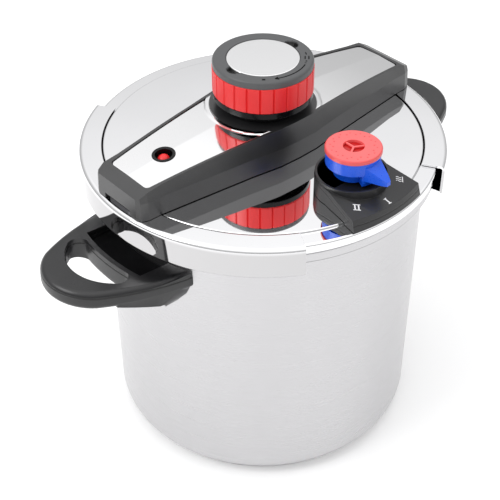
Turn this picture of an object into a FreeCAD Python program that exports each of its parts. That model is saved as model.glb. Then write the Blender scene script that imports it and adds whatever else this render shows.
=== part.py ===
import FreeCAD, Part
import math
import os

from FreeCAD import Vector

os.makedirs("parts", exist_ok=True)

# ---------------------------------------------------------------- driving dimensions (mm)
# The origin is the centre of the pot's foot, +Z is up, +X runs along the bridge and both side
# handles, and the operating valve is at -Y. Radii are built outwards from the pot's bore, and
# heights upwards from its rim.

GAP = 0.3               # gap between faces of different bodies that do not slide on each other
RUN = 0.05              # radial running clearance of a shaft in its hole
SEAT = 0.02             # gap of a piece that is pressed or glued to its neighbour
CUT = 1.0               # how far a cutting shape runs past the face it cuts
EDGE = 0.5              # small break on a sheet's edge

# pot
POT_BORE_R = 110.0      # inside radius of the pot
POT_WALL = 1.0
POT_R = POT_BORE_R + POT_WALL
POT_H = 214.7           # table to the top of the rim
POT_CORNER_R = 10.0     # outside radius between floor and wall
RIM_R = POT_R + 7.5     # outside of the rolled rim
RIM_DROP = 7.7          # height of the rolled rim's skirt
RIM_BEND = 3.0          # bend between wall and rim
BASE_R = POT_R - 7.5    # outside of the base cap
BASE_SHEET = 0.6
CORE_T = 4.0            # aluminium core
FLOOR_Z = BASE_SHEET + CORE_T

# side handles: x is measured from the pot's wall outwards
HANDLE_TOP_Z = POT_H - 26.3     # top of the handle at the wall
HANDLE_RISE = 5.4               # degrees by which it rises towards its tip
HANDLE_T = 12.7
HANDLE_EDGE_R = 4.0
HANDLE_SIDE = [(-11.0, 46.2), (27.0, 38.6), (51.0, 28.5)]
HANDLE_TIP = 66.5
GRIP_HOLE = [(23.0, 22.5), (28.5, 27.8), (36.5, 25.0), (48.6, 0.0)]
ROOT_PROFILE = [(46.0, -1.0), (45.4, -10.0), (41.4, -20.0), (35.0, -28.4)]
ROOT_T = 4.0                    # root below the gusset
GUSSET_KNEE = (10.0, -19.0)     # where the gusset's underside bends
GUSSET_REACH = 40.0             # where the gusset meets the underside of the ring
SADDLE_DEPTH = 6.0
SADDLE_HALF_W = 29.0
RIDGE_W = 3.5                   # between the saddle and the grip hole
BRACKET_SHEET = 1.5
PLATE_HALF_W = 11.5
PLATE_DROP = 13.0
TAB_HALF_W = 9.0
TAB_T = 2.5
TAB_REACH = 17.0
TAB_Z = HANDLE_TOP_Z - 13.4
HANDLE_SCREW_X = POT_R + 9.0
HANDLE_SCREW_DROP = 3.5         # seat of the screw's head below the tab
SCREW_R = 2.0
SCREW_HEAD_R = 3.8
SCREW_HEAD_H = 2.4

# lid
LID_T = 1.2             # lid sheet
GASKET_T = 5.7          # gasket between rim and lid flange
GASKET_LIP = 4.0        # lip that reaches into the pot
GASKET_FIT = 0.5
LID_R = RIM_R + 1.5     # outside of the lid flange
LID_SKIRT = 6.5         # height of the flange's turned-down edge
DISC_R = POT_R - 2.8    # raised centre of the lid
DISC_RISE = 1.5         # centre above the flange
LID_RING_R = POT_R - 3.8    # inner ring that holds the gasket
LID_RING_DROP = 10.0
FLANGE_LOW_Z = POT_H + GAP + GASKET_T + GAP
FLANGE_TOP_Z = FLANGE_LOW_Z + LID_T
DISC_Z = FLANGE_TOP_Z + DISC_RISE
DISC_LOW_Z = DISC_Z - LID_T

# jaws and their arms
JAW_T = 1.5             # jaw sheet
JAW_R = LID_R + 5.0     # outside of the jaws
JAW_LIP_R = DISC_R + 1.2    # inner edge of the jaw's upper lip
JAW_HOOK_R = POT_R + 1.8    # inner edge of the hook under the rim
JAW_HALF_ANGLE = 60.0   # each jaw spans twice this
JAW_BEND = 3.0          # rounded top corner
JAW_SKIRT = 21.3        # height of the jaw
JAW_TRAVEL = 14.0       # radial travel from closed to open
KNOB_TURN = 90.0        # degrees from closed to open
JAW_TOP_Z = FLANGE_TOP_Z + GAP + JAW_T
ARM_T = 2.0
ARM_HALF_W = 12.0
ARM_CORNER_R = 3.0
ARM_TIP_X = 8.6         # inner end of the arm when closed
ARM_END_X = LID_R + 0.5     # outer end of the arm when closed
ARM_Z = JAW_TOP_Z
ARM_TOP_Z = ARM_Z + ARM_T
PIN_R = 3.0
PIN_X = 13.0            # cam pin when closed
PIN_PLAY = 0.1          # radial play of the cam pin in its slot
PIN_SHORT = 0.4         # pin's end below the cam's top
RIVET_R = 2.0
RIVET_HEAD_R = 3.5
RIVET_HEAD_H = 1.4
RIVET_X = LID_R - 6.0
RIVET_Y = 7.5

# cam, stud and guides
CAM_R = 32.5
CAM_T = 3.0
CAM_Z = ARM_TOP_Z + GAP
CAM_TOP_Z = CAM_Z + CAM_T
SCROLL_RATE = JAW_TRAVEL / math.radians(KNOB_TURN)
SCROLL_STEPS = 12
STUD_R = 5.0
STUD_TIP_R = 4.0
STUD_TIP_SPARE = 2.5    # thread beyond the nut
STUD_HEAD_R = 9.0
STUD_HEAD_H = 3.0
WASHER_R = 8.0
SLEEVE_R = 9.0          # cam's drive sleeve
SLEEVE_FLAT = 7.5       # its two flats, from the axis
KNOB_WASHER_R = 10.0
KNOB_WASHER_T = 1.5
NUT_H = 6.5
NUT_R = 7.5
GUIDE_IN_X = CAM_R + 12.5       # strap over the arm
GUIDE_OUT_X = GUIDE_IN_X + 14.0
GUIDE_X = (GUIDE_IN_X + GUIDE_OUT_X) / 2
GUIDE_FOOT = 8.0
GUIDE_ROOF_Z = ARM_TOP_Z + 2 * GAP

# bridge
BRIDGE_LOW_Z = JAW_TOP_Z + GAP
BRIDGE_TOP_Z = DISC_Z + 26.8    # crest of the bridge, over the pot's axis
BRIDGE_FALL = 8.3               # how much lower its top is at the ends
BRIDGE_END_Z = BRIDGE_TOP_Z - BRIDGE_FALL
BRIDGE_END_X = LID_R + 1.8
BRIDGE_ARC_R = (BRIDGE_END_X ** 2 + BRIDGE_FALL ** 2) / (2 * BRIDGE_FALL)
BRIDGE_WALL = 2.5
BRIDGE_LEAN = 2.0               # how far the sides lean in towards the top
BRIDGE_MIDDLE = [                       # half plan: x, half width, clear of the cam
    (0.0, CAM_R + 4.0), (16.0, CAM_R + 3.5), (GUIDE_IN_X - 7.0, 32.5),
]
BRIDGE_TAPER = [(-17.8, 24.8), (-6.3, 24.4), (-1.5, 22.6), (0.0, 19.5)]  # x from its end
BEVEL_LONG = 7.3                # slope between the top and the end face
BEVEL_DEEP = 3.7
END_SLOT = 8.0                  # opening in the end wall, over the rivets
BOSS_WALL = 2.0
INLAY_T = 0.8
INLAY_DROP = 0.1        # inlay below the bridge's top
GLUE = 0.1              # glue line under and round the inlay
INLAY_START_R = CAM_R + 5.5    # concave inner edge, about the knob's axis
INLAY_HALF_W0 = 29.5    # half width at the knob
INLAY_HALF_W1 = 18.7    # half width at the far end
INLAY_END_X = BRIDGE_END_X - 9.8
INLAY_CORNER_R = 3.0

# knob
NECK_R = 26.0
NECK_H = 6.1
FLANGE_R = 33.2
FLANGE_H = 4.0
HUB_R = 31.0
HUB_WALL = 3.0
HUB_FLOOR = 2.0
NUT_WELL_R = 12.0
NUT_WELL_WALL = 3.0
GRIP_R = 33.5
GRIP_H = 18.0
GRIP_GROOVES = 24
GROOVE_R = 0.9
GROOVE_OUT = 0.4        # groove's centre outside the grip
CAP_RING_R = 33.2
CAP_RING_H = 5.1
CAP_RING_EDGE = 1.5
SHELF_T = 1.0
DISC_TOP_R = 24.1
DISC_TOP_T = 3.0
THUMB_R = 5.0           # two thumb recesses in the cap ring, centred on the disc's edge
THUMB_DEEP = 2.6
CLIP_R = 11.9
CLIP_BORE = 10.0
CLIP_DROP = 6.0
NECK_Z = BRIDGE_TOP_Z + GAP
KNOB_FLANGE_Z = NECK_Z + NECK_H
FLAT_Z = NECK_Z + 1.0   # where the sleeve's flats begin
SLEEVE_TOP_Z = KNOB_FLANGE_Z + FLANGE_H
STUD_SHOULDER_Z = SLEEVE_TOP_Z + GAP
GRIP_Z = SLEEVE_TOP_Z + SEAT
GRIP_TOP_Z = GRIP_Z + GRIP_H
CAP_RING_Z = GRIP_TOP_Z + SEAT
KNOB_TOP_Z = CAP_RING_Z + CAP_RING_H

# pressure indicator, and the safety plug under the other half of the bridge
INDICATOR_X = -(DISC_R - 24.2)
INDICATOR_R = 3.0
INDICATOR_HEAD_R = 4.2
INDICATOR_TOP_Z = BRIDGE_TOP_Z - 4.5
INDICATOR_TRAVEL = 5.0
INDICATOR_COLLAR_R = 4.6
INDICATOR_COLLAR_H = 2.0
INDICATOR_FOOT_R = 5.0
GUIDE_TUBE_R = 5.0
GUIDE_TUBE_TOP_Z = ARM_TOP_Z + 6.0
GUIDE_TUBE_LOW_Z = DISC_LOW_Z - 5.0
GUIDE_NUT_R = 8.5
GUIDE_NUT_H = 4.0
WINDOW_R = 6.6
BEZEL_R = 7.8
BEZEL_WALL = 1.2
BEZEL_LIP = 0.6
BEZEL_PLAY = 0.6
BEZEL_DEEP = 5.5
PLUG_X = -INDICATOR_X
PLUG_HEAD_R = 7.0
PLUG_HEAD_T = 1.8

# operating valve
VALVE_Y = -(DISC_R - 24.4)
VALVE_TUBE_R = 7.0
VALVE_TUBE_DROP = 14.0
VALVE_BORE_R = 2.5
VALVE_FLANGE_R = 12.0
VALVE_FLANGE_T = 2.0
VALVE_GASKET_T = 1.0
VALVE_SEAT_Z = DISC_Z + 12.3
VALVE_NUT_R = 11.5
VALVE_NUT_H = 5.0
FILTER_WALL = 1.5
FILTER_H = 9.0
FILTER_FLOOR = 1.0
FILTER_HOLE_R = 0.9
FILTER_RING_R = 4.2
PISTON_R = 3.5
PISTON_H = 9.0
PISTON_COLLAR = 2.0     # width and height of its collar
SPRING_WIRE_R = 0.4
SPRING_TURNS = 5
HOUSING_HALF_W = 30.0
HOUSING_EDGE_R = LID_R - 0.2    # front, flush with the lid's edge
HOUSING_LEAN = 0.28             # slope of the front face
HOUSING_FRONT_Z = FLANGE_TOP_Z + 7.3
HOUSING_SLOPE = 0.2             # rise of the top from the front edge to the collar
HOUSING_TOP_Z = DISC_Z + 12.3
HOUSING_COLLAR_R = 23.5
HOUSING_COLLAR_Z = DISC_Z + 14.7
HOUSING_WALL = 3.0
DISH_R = 22.0                   # dish inside the collar, under the selector
DISH_DEEP = 2.5
LEVER_R = 17.4
LEVER_TOP_Z = DISC_Z + 30.3
LEVER_RING_H = 8.5
LEVER_LOW_Z = HOUSING_COLLAR_Z - 0.9    # its deeper front reaches into the dish
LEVER_FRONT = (30.0, 16.0)              # reach and half width of the deeper front
LEVER_WALL = 3.0
LEVER_TAB_R = 29.5
LEVER_TAB_LIFT = 4.0
LEVER_TAB_SLOPE = 28.0
LEVER_TAB_ANGLE = -87.0
TAB_PLAN = [(-4.0, 8.0), (9.1, 3.2), (12.1, 1.5)]       # x from the lever's ring, half width
CAP_R = 18.1
CAP_T = 2.7
CAP_TOP_Z = DISC_Z + 33.3
CAP_EDGE = 1.0
CAP_STEM_R = 9.0
CAP_STEM_WALL = 2.0
CAP_RECESS_R = 6.8
CAP_RECESS_DEEP = 2.0
CAP_ROOF = 1.5
CAP_RIB = 0.6           # half width of the ribs, and their drop below the top


# ---------------------------------------------------------------- shape helpers
def cylinder(radius, low, high, x=0.0, y=0.0):
    return Part.makeCylinder(radius, high - low, Vector(x, y, low))


def ring(inner, outer, low, high, x=0.0, y=0.0):
    return cylinder(outer, low, high, x, y).cut(cylinder(inner, low - CUT, high + CUT, x, y))


def block(x0, x1, y0, y1, low, high):
    return Part.makeBox(x1 - x0, y1 - y0, high - low, Vector(x0, y0, low))


def polar(radius, degrees, z=0.0, x=0.0, y=0.0):
    angle = math.radians(degrees)
    return Vector(x + radius * math.cos(angle), y + radius * math.sin(angle), z)


def line(a, b):
    return Part.LineSegment(a, b).toShape()


def arc(a, middle, b):
    return Part.Arc(a, middle, b).toShape()


def radial(r, z):
    return Vector(r, 0, z)


def round_corner(start, end, centre, radius):
    """Quarter of a circle from start to end, bulging away from its centre."""
    out = (start + end) * 0.5 - centre
    out.normalize()
    return arc(start, centre + out * radius, end)


def prism(edges, height):
    """Extrude a closed flat outline along Z."""
    return Part.Face(Part.Wire(edges)).extrude(Vector(0, 0, height))


def polygon_face(corners):
    return Part.Face(Part.makePolygon(corners + [corners[0]]))


def polygon_prism(points, low, high):
    face = polygon_face([Vector(x, y, low) for x, y in points])
    return face.extrude(Vector(0, 0, high - low))


def side_prism(points, half_width):
    """Extrude an outline in the XZ plane to both sides of it."""
    face = polygon_face([Vector(x, -half_width, z) for x, z in points])
    return face.extrude(Vector(0, 2 * half_width, 0))


def turned(edges):
    """Turn a closed outline in the XZ plane about the Z axis."""
    return Part.Face(Part.Wire(edges)).revolve(Vector(0, 0, 0), Vector(0, 0, 1), 360)


def turned_polygon(points):
    return polygon_face([radial(r, z) for r, z in points]).revolve(Vector(0, 0, 0), Vector(0, 0, 1), 360)


def hexagon(radius, low, high, x=0.0, y=0.0):
    points = [polar(radius, 60 * k, 0, x, y) for k in range(6)]
    return polygon_prism([(p.x, p.y) for p in points], low, high)


def moved(shape, x=0.0, y=0.0, z=0.0):
    copy = shape.copy()
    copy.translate(Vector(x, y, z))
    return copy


def half_turn(shape):
    """The same piece on the opposite side of the Z axis."""
    copy = shape.copy()
    copy.rotate(Vector(0, 0, 0), Vector(0, 0, 1), 180)
    return copy


def edges_at(shape, z):
    return [e for e in shape.Edges if abs(e.CenterOfMass.z - z) < SEAT]


def save(name, shape):
    if len(shape.Solids) == 1:
        shape = shape.Solids[0]
    shape.exportStep("parts/" + name + ".step")


# ---------------------------------------------------------------- pot
def pot_body():
    """Drawn steel pot: floor, round corner, straight wall and a rim rolled outwards."""
    foot_r = POT_R - POT_CORNER_R
    wall_low = FLOOR_Z + POT_CORNER_R
    inner_corner = POT_CORNER_R - POT_WALL
    bend_r = POT_R + RIM_BEND
    bend_z = POT_H - POT_WALL - RIM_BEND
    lip_r = RIM_R - POT_WALL
    lip_z = POT_H - POT_WALL
    rim_low = POT_H - RIM_DROP
    corner = radial(foot_r, wall_low)
    bend = radial(bend_r, bend_z)
    floor_top = FLOOR_Z + POT_WALL
    edges = [
        line(radial(0, FLOOR_Z), radial(foot_r, FLOOR_Z)),
        round_corner(radial(foot_r, FLOOR_Z), radial(POT_R, wall_low), corner, POT_CORNER_R),
        line(radial(POT_R, wall_low), radial(POT_R, bend_z)),
        round_corner(radial(POT_R, bend_z), radial(bend_r, lip_z), bend, RIM_BEND),
        line(radial(bend_r, lip_z), radial(lip_r, lip_z)),
        line(radial(lip_r, lip_z), radial(lip_r, rim_low)),
        line(radial(lip_r, rim_low), radial(RIM_R, rim_low)),
        line(radial(RIM_R, rim_low), radial(RIM_R, lip_z)),
        round_corner(radial(RIM_R, lip_z), radial(lip_r, POT_H), radial(lip_r, lip_z), POT_WALL),
        line(radial(lip_r, POT_H), radial(bend_r, POT_H)),
        round_corner(radial(bend_r, POT_H), radial(POT_BORE_R, bend_z), bend, RIM_BEND + POT_WALL),
        line(radial(POT_BORE_R, bend_z), radial(POT_BORE_R, wall_low)),
        round_corner(radial(POT_BORE_R, wall_low), radial(foot_r, floor_top), corner, inner_corner),
        line(radial(foot_r, floor_top), radial(0, floor_top)),
        line(radial(0, floor_top), radial(0, FLOOR_Z)),
    ]
    return turned(edges)


def base_core():
    """Aluminium disc that spreads the heat, between the pot's floor and the base cap."""
    return cylinder(BASE_R - BASE_SHEET - SEAT, BASE_SHEET + SEAT, FLOOR_Z - SEAT)


def base_cap():
    """Steel cap pressed over the core: the face the pot stands on."""
    outside = cylinder(BASE_R, 0, FLOOR_Z - SEAT)
    outside = outside.makeFillet(BASE_SHEET, edges_at(outside, 0))
    return outside.cut(cylinder(BASE_R - BASE_SHEET, BASE_SHEET, FLOOR_Z + CUT))


def wall_plate(inner, outer, half_width, low, high):
    """A piece of tube about the Z axis, on the +X side, as wide as stated."""
    side = block(inner / 2, outer + CUT, -half_width, half_width, low, high)
    return ring(inner, outer, low, high).common(side)


def handle_bracket():
    """Steel bracket welded to the wall: a plate, and a tab that the handle slides over."""
    wall = POT_R + SEAT
    top = TAB_Z + TAB_T
    plate = wall_plate(wall, wall + BRACKET_SHEET, PLATE_HALF_W, TAB_Z - PLATE_DROP, top + BRACKET_SHEET)
    tab = block(POT_R, POT_R + TAB_REACH, -TAB_HALF_W, TAB_HALF_W, TAB_Z, top)
    tab = tab.cut(cylinder(wall + BRACKET_SHEET / 2, TAB_Z - CUT, top + CUT))
    hole = cylinder(SCREW_R + SEAT, TAB_Z - CUT, top + CUT, HANDLE_SCREW_X)
    return plate.fuse(tab).cut(hole).removeSplitter()


def from_wall(points):
    return [(POT_R + x, y) for x, y in points]


def handle_plan(low, high):
    """Plan of the side handle: two bowed sides that meet in a round tip."""
    (root_x, root_y), (mid_x, mid_y), (end_x, end_y) = from_wall(HANDLE_SIDE)
    tip = Vector(POT_R + HANDLE_TIP, 0, low)
    edges = [
        line(Vector(root_x, -root_y, low), Vector(root_x, root_y, low)),
        arc(Vector(root_x, root_y, low), Vector(mid_x, mid_y, low), Vector(end_x, end_y, low)),
        arc(Vector(end_x, end_y, low), tip, Vector(end_x, -end_y, low)),
        arc(Vector(end_x, -end_y, low), Vector(mid_x, -mid_y, low), Vector(root_x, -root_y, low)),
    ]
    return prism(edges, high - low)


def grip_hole(low, high):
    """Hole for the fingers: a ridge concentric with the pot, round corners, a bowed far side."""
    (in_x, in_y), (corner_x, corner_y), (out_x, out_y), (far_x, far_y) = from_wall(GRIP_HOLE)
    ridge = Vector(math.hypot(in_x, in_y), 0, low)
    inner = [Vector(in_x, -in_y, low), Vector(in_x, in_y, low)]
    outer = [Vector(out_x, -out_y, low), Vector(out_x, out_y, low)]
    edges = [
        arc(inner[0], ridge, inner[1]),
        arc(inner[1], Vector(corner_x, corner_y, low), outer[1]),
        arc(outer[1], Vector(far_x, far_y, low), outer[0]),
        arc(outer[0], Vector(corner_x, -corner_y, low), inner[0]),
    ]
    return prism(edges, high - low)


def side_handle():
    """Moulded handle: a ring that rises to its tip, a ridge, a saddle and a root on the wall."""
    inner = POT_R + SEAT
    top = HANDLE_TOP_Z
    low = top - HANDLE_T
    grip = handle_plan(low, top)
    rims = [e for e in edges_at(grip, low) + edges_at(grip, top) if e.CenterOfMass.x > POT_R]
    grip = grip.makeFillet(HANDLE_EDGE_R, rims).cut(grip_hole(low - CUT, top + CUT))
    grip.rotate(Vector(POT_R, 0, top), Vector(0, 1, 0), -HANDLE_RISE)

    half = [(y, top + drop) for y, drop in ROOT_PROFILE]
    profile = [(-y, z) for y, z in half] + half[::-1]
    root = polygon_face([Vector(inner / 2, y, z) for y, z in profile]).extrude(Vector(inner, 0, 0))
    root_low = half[-1][1]
    root_top = half[0][1]
    knee_x, knee_drop = GUSSET_KNEE
    gusset = [
        (inner / 2, root_top + CUT), (inner / 2, root_low - CUT), (inner + ROOT_T, root_low - CUT),
        (inner + knee_x, top + knee_drop), (inner + GUSSET_REACH, low + HANDLE_EDGE_R),
        (inner + GUSSET_REACH, root_top + CUT),
    ]
    root = root.common(side_prism(gusset, POT_R)).common(handle_plan(root_low - CUT, top + CUT))
    root = root.cut(grip_hole(root_low - CUT, top + CUT))
    handle = grip.fuse(root).cut(cylinder(inner, root_low - 2 * CUT, KNOB_TOP_Z))

    ridge_r = math.hypot(POT_R + GRIP_HOLE[0][0], GRIP_HOLE[0][1]) - RIDGE_W
    saddle = ring(inner / 2, ridge_r, top - SADDLE_DEPTH, KNOB_TOP_Z)
    side = block(0, ridge_r, -SADDLE_HALF_W, SADDLE_HALF_W, top - SADDLE_DEPTH, KNOB_TOP_Z)
    handle = handle.cut(saddle.common(side))

    tab_top = TAB_Z + TAB_T + SEAT
    slot_half = TAB_HALF_W + SEAT
    slot = block(inner / 2, POT_R + TAB_REACH + SEAT, -slot_half, slot_half, TAB_Z - SEAT, tab_top)
    plate_low = TAB_Z - PLATE_DROP - SEAT
    plate_r = inner + BRACKET_SHEET + SEAT
    plate = wall_plate(inner - CUT, plate_r, PLATE_HALF_W + SEAT, plate_low, tab_top + BRACKET_SHEET)
    seat_z = TAB_Z - HANDLE_SCREW_DROP
    shank_hole = cylinder(SCREW_R + SEAT, seat_z, tab_top + BRACKET_SHEET + GAP, HANDLE_SCREW_X)
    head_hole = cylinder(SCREW_HEAD_R + GAP, root_low - CUT, seat_z, HANDLE_SCREW_X)
    return handle.cut(slot).cut(plate).cut(shank_hole).cut(head_hole).removeSplitter()


def handle_screw():
    seat_z = TAB_Z - HANDLE_SCREW_DROP
    head = cylinder(SCREW_HEAD_R, seat_z - SCREW_HEAD_H, seat_z, HANDLE_SCREW_X)
    shank = cylinder(SCREW_R, seat_z, TAB_Z + TAB_T + BRACKET_SHEET, HANDLE_SCREW_X)
    return head.fuse(shank).removeSplitter()


# ---------------------------------------------------------------- lid
def lid_shell():
    """Pressed steel lid: raised mirror disc, flange with a turned-down edge, inner gasket ring."""
    skirt_low = FLANGE_TOP_Z - LID_SKIRT
    ring_low = DISC_LOW_Z - LID_RING_DROP
    ring_in = LID_RING_R - LID_T
    skirt_in = LID_R - LID_T
    shell = turned_polygon([
        (0, DISC_LOW_Z), (ring_in, DISC_LOW_Z), (ring_in, ring_low), (LID_RING_R, ring_low),
        (LID_RING_R, FLANGE_LOW_Z), (skirt_in, FLANGE_LOW_Z), (skirt_in, skirt_low),
        (LID_R, skirt_low), (LID_R, FLANGE_TOP_Z - EDGE), (LID_R - EDGE, FLANGE_TOP_Z),
        (DISC_R, FLANGE_TOP_Z), (DISC_R, DISC_Z - EDGE), (DISC_R - EDGE, DISC_Z), (0, DISC_Z),
    ])
    low = DISC_LOW_Z - CUT
    high = DISC_Z + CUT
    shell = shell.cut(cylinder(STUD_R + SEAT, low, high))
    shell = shell.cut(cylinder(GUIDE_TUBE_R + SEAT, low, high, INDICATOR_X))
    shell = shell.cut(cylinder(GUIDE_TUBE_R + SEAT, low, high, PLUG_X))
    return shell.cut(cylinder(VALVE_TUBE_R + SEAT, low, high, 0, VALVE_Y))


def lid_gasket():
    """Silicone ring: a flat part between rim and flange, and a lip that reaches into the pot."""
    top = FLANGE_LOW_Z - SEAT
    bottom = POT_H + GAP
    inner = LID_RING_R + SEAT
    outer = LID_R - LID_T - GAP
    lip_r = POT_BORE_R - GASKET_FIT
    lip_low = bottom - GASKET_LIP
    return turned_polygon([
        (inner, lip_low), (lip_r, lip_low), (lip_r, bottom), (outer, bottom), (outer, top), (inner, top),
    ])


def centre_stud():
    """Headed stud through the lid: it carries the bridge's cam and the knob."""
    tip_top = STUD_SHOULDER_Z + KNOB_WASHER_T + NUT_H + STUD_TIP_SPARE
    head = cylinder(STUD_HEAD_R, DISC_LOW_Z - STUD_HEAD_H, DISC_LOW_Z)
    shank = cylinder(STUD_R, DISC_LOW_Z, STUD_SHOULDER_Z)
    tip = cylinder(STUD_TIP_R, STUD_SHOULDER_Z, tip_top)
    return head.fuse(shank).fuse(tip).removeSplitter()


def cam_washer():
    return ring(STUD_R + SEAT, WASHER_R, DISC_Z, CAM_Z - GAP)


def knob_washer():
    return ring(STUD_TIP_R + SEAT, KNOB_WASHER_R, STUD_SHOULDER_Z, STUD_SHOULDER_Z + KNOB_WASHER_T)


def knob_nut():
    low = STUD_SHOULDER_Z + KNOB_WASHER_T
    nut = hexagon(NUT_R, low, low + NUT_H)
    return nut.cut(cylinder(STUD_TIP_R + SEAT, low - CUT, low + NUT_H + CUT))


def guide_bracket():
    """Steel strap welded to the lid: the arm slides under it and the bridge is screwed to it."""
    inside = ARM_HALF_W + GAP
    outer = inside + BRACKET_SHEET
    foot = outer + GUIDE_FOOT
    high = GUIDE_ROOF_Z + BRACKET_SHEET
    strap = block(GUIDE_IN_X, GUIDE_OUT_X, -outer, outer, DISC_Z, high)
    feet = block(GUIDE_IN_X, GUIDE_OUT_X, -foot, foot, DISC_Z, DISC_Z + BRACKET_SHEET)
    tunnel = block(GUIDE_IN_X - CUT, GUIDE_OUT_X + CUT, -inside, inside, DISC_Z - CUT, GUIDE_ROOF_Z)
    hole = cylinder(SCREW_R + SEAT, GUIDE_ROOF_Z - CUT, high + CUT, GUIDE_X)
    return strap.fuse(feet).cut(tunnel).cut(hole).removeSplitter()


def bridge_plan(inset):
    taper = [(BRIDGE_END_X + x - inset, y - inset) for x, y in BRIDGE_TAPER]
    quarter = [(x, y - inset) for x, y in BRIDGE_MIDDLE] + taper
    half = [(-x, y) for x, y in quarter[:0:-1]] + quarter
    return half + [(x, -y) for x, y in half[::-1]]


def plan_loft(low_inset, high_inset, low, high):
    """Straight sides between two plans of the bridge."""
    wires = []
    for inset, z in ((low_inset, low), (high_inset, high)):
        corners = [Vector(x, y, z) for x, y in bridge_plan(inset)]
        wires.append(Part.makePolygon(corners + [corners[0]]))
    return Part.makeLoft(wires, True, True)


def under_arch(drop):
    """Everything below the bridge's arched top, lowered by the drop."""
    reach = 2 * BRIDGE_END_X
    centre = Vector(0, -reach, BRIDGE_TOP_Z - BRIDGE_ARC_R)
    barrel = Part.makeCylinder(BRIDGE_ARC_R - drop, 2 * reach, centre, Vector(0, 1, 0))
    return barrel.common(block(-reach, reach, -reach, reach, DISC_LOW_Z, KNOB_TOP_Z))


def arch_z(x):
    return BRIDGE_TOP_Z - BRIDGE_ARC_R + math.sqrt(BRIDGE_ARC_R ** 2 - x ** 2)


def end_bevel(drop):
    """What the sloping shoulder takes off both ends of the bridge, lowered by the drop."""
    start_x = BRIDGE_END_X - BEVEL_LONG
    start_z = arch_z(start_x) - drop
    slope = BEVEL_DEEP / BEVEL_LONG
    far_x = BRIDGE_END_X + BEVEL_LONG
    near_x = start_x - BEVEL_LONG
    points = [
        (near_x, start_z + slope * BEVEL_LONG), (far_x, start_z - slope * (far_x - start_x)),
        (far_x, KNOB_TOP_Z), (near_x, KNOB_TOP_Z),
    ]
    shape = side_prism(points, BRIDGE_END_X)
    return shape.fuse(half_turn(shape))


def inlay_prism(grow):
    """Plan of one steel inlay: concave round the knob, tapering, with round far corners."""
    start = math.sqrt(INLAY_START_R ** 2 - INLAY_HALF_W0 ** 2)
    end = INLAY_END_X + grow
    w0 = INLAY_HALF_W0 + grow
    w1 = INLAY_HALF_W1 + grow
    plan = polygon_prism([(start, -w0), (end, -w1), (end, w1), (start, w0)], DISC_Z, KNOB_TOP_Z)
    corners = [e for e in plan.Edges if abs(e.CenterOfMass.x - end) < SEAT and len(e.Vertexes) == 2]
    corners = [e for e in corners if e.Vertexes[0].Point.z != e.Vertexes[1].Point.z]
    plan = plan.makeFillet(INLAY_CORNER_R + grow, corners)
    return plan.cut(cylinder(INLAY_START_R - grow, DISC_LOW_Z, KNOB_TOP_Z + CUT))


def bridge_body():
    """Moulded bar across the lid: arched top, hollow below, with bosses for its screws."""
    outside = plan_loft(0, BRIDGE_LEAN, BRIDGE_LOW_Z, KNOB_TOP_Z).common(under_arch(0))
    outside = outside.cut(end_bevel(0))
    inside = plan_loft(BRIDGE_WALL, BRIDGE_LEAN + BRIDGE_WALL, BRIDGE_LOW_Z - CUT, KNOB_TOP_Z)
    inside = inside.common(under_arch(BRIDGE_WALL)).cut(end_bevel(BRIDGE_WALL))
    body = outside.cut(inside)
    boss_low = GUIDE_ROOF_Z + BRACKET_SHEET
    roof = under_arch(BRIDGE_WALL / 2)
    recess = inlay_prism(GLUE).cut(under_arch(INLAY_DROP + INLAY_T + GLUE))
    pass_z = ARM_TOP_Z + RIVET_HEAD_H + 2 * GAP
    slot_half = ARM_HALF_W + CUT
    slot_x = BRIDGE_END_X - END_SLOT
    boss = cylinder(SCREW_HEAD_R + BOSS_WALL, boss_low, BRIDGE_TOP_Z, GUIDE_X).common(roof)
    for turn in (moved, half_turn):
        body = body.fuse(turn(boss))
        body = body.cut(turn(recess))
        body = body.cut(turn(cylinder(SCREW_R + SEAT, boss_low - CUT, BRIDGE_TOP_Z + CUT, GUIDE_X)))
        body = body.cut(turn(cylinder(SCREW_HEAD_R + GAP, BRIDGE_END_Z, BRIDGE_TOP_Z + CUT, GUIDE_X)))
        slot = block(slot_x, BRIDGE_END_X + CUT, -slot_half, slot_half, BRIDGE_LOW_Z - CUT, pass_z)
        body = body.cut(turn(slot))
    body = body.cut(cylinder(SLEEVE_R + 2 * CUT, BRIDGE_LOW_Z, BRIDGE_TOP_Z + CUT))
    return body.cut(window_hole()).removeSplitter()


def window_hole():
    return cylinder(WINDOW_R + SEAT, BRIDGE_LOW_Z, BRIDGE_TOP_Z + CUT, INDICATOR_X)


def bridge_screw():
    head = cylinder(SCREW_HEAD_R, BRIDGE_END_Z, BRIDGE_END_Z + SCREW_HEAD_H, GUIDE_X)
    shank = cylinder(SCREW_R, GUIDE_ROOF_Z, BRIDGE_END_Z, GUIDE_X)
    return head.fuse(shank).removeSplitter()


def inlay_plate():
    """Steel plate glued into the bridge's recess; the left one is pierced for the window."""
    sheet = under_arch(INLAY_DROP).cut(under_arch(INLAY_DROP + INLAY_T))
    return inlay_prism(0).common(sheet)


def window_bezel():
    """Ring that lines the indicator's window, square to the bridge's arched top."""
    seat_z = BRIDGE_TOP_Z - INLAY_DROP + SEAT
    bore = WINDOW_R - BEZEL_WALL
    flange = ring(bore, BEZEL_R, seat_z, seat_z + BEZEL_LIP)
    tube = ring(bore, WINDOW_R - BEZEL_PLAY, seat_z - BEZEL_DEEP, seat_z)
    bezel = flange.fuse(tube).removeSplitter()
    tilt = math.degrees(math.asin(INDICATOR_X / BRIDGE_ARC_R))
    bezel.rotate(Vector(0, 0, BRIDGE_TOP_Z - BRIDGE_ARC_R), Vector(0, 1, 0), tilt)
    return bezel


def indicator_sleeve():
    """Guide tube screwed through the lid for the indicator pin."""
    return ring(INDICATOR_R + RUN, GUIDE_TUBE_R, GUIDE_TUBE_LOW_Z, GUIDE_TUBE_TOP_Z, INDICATOR_X)


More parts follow.
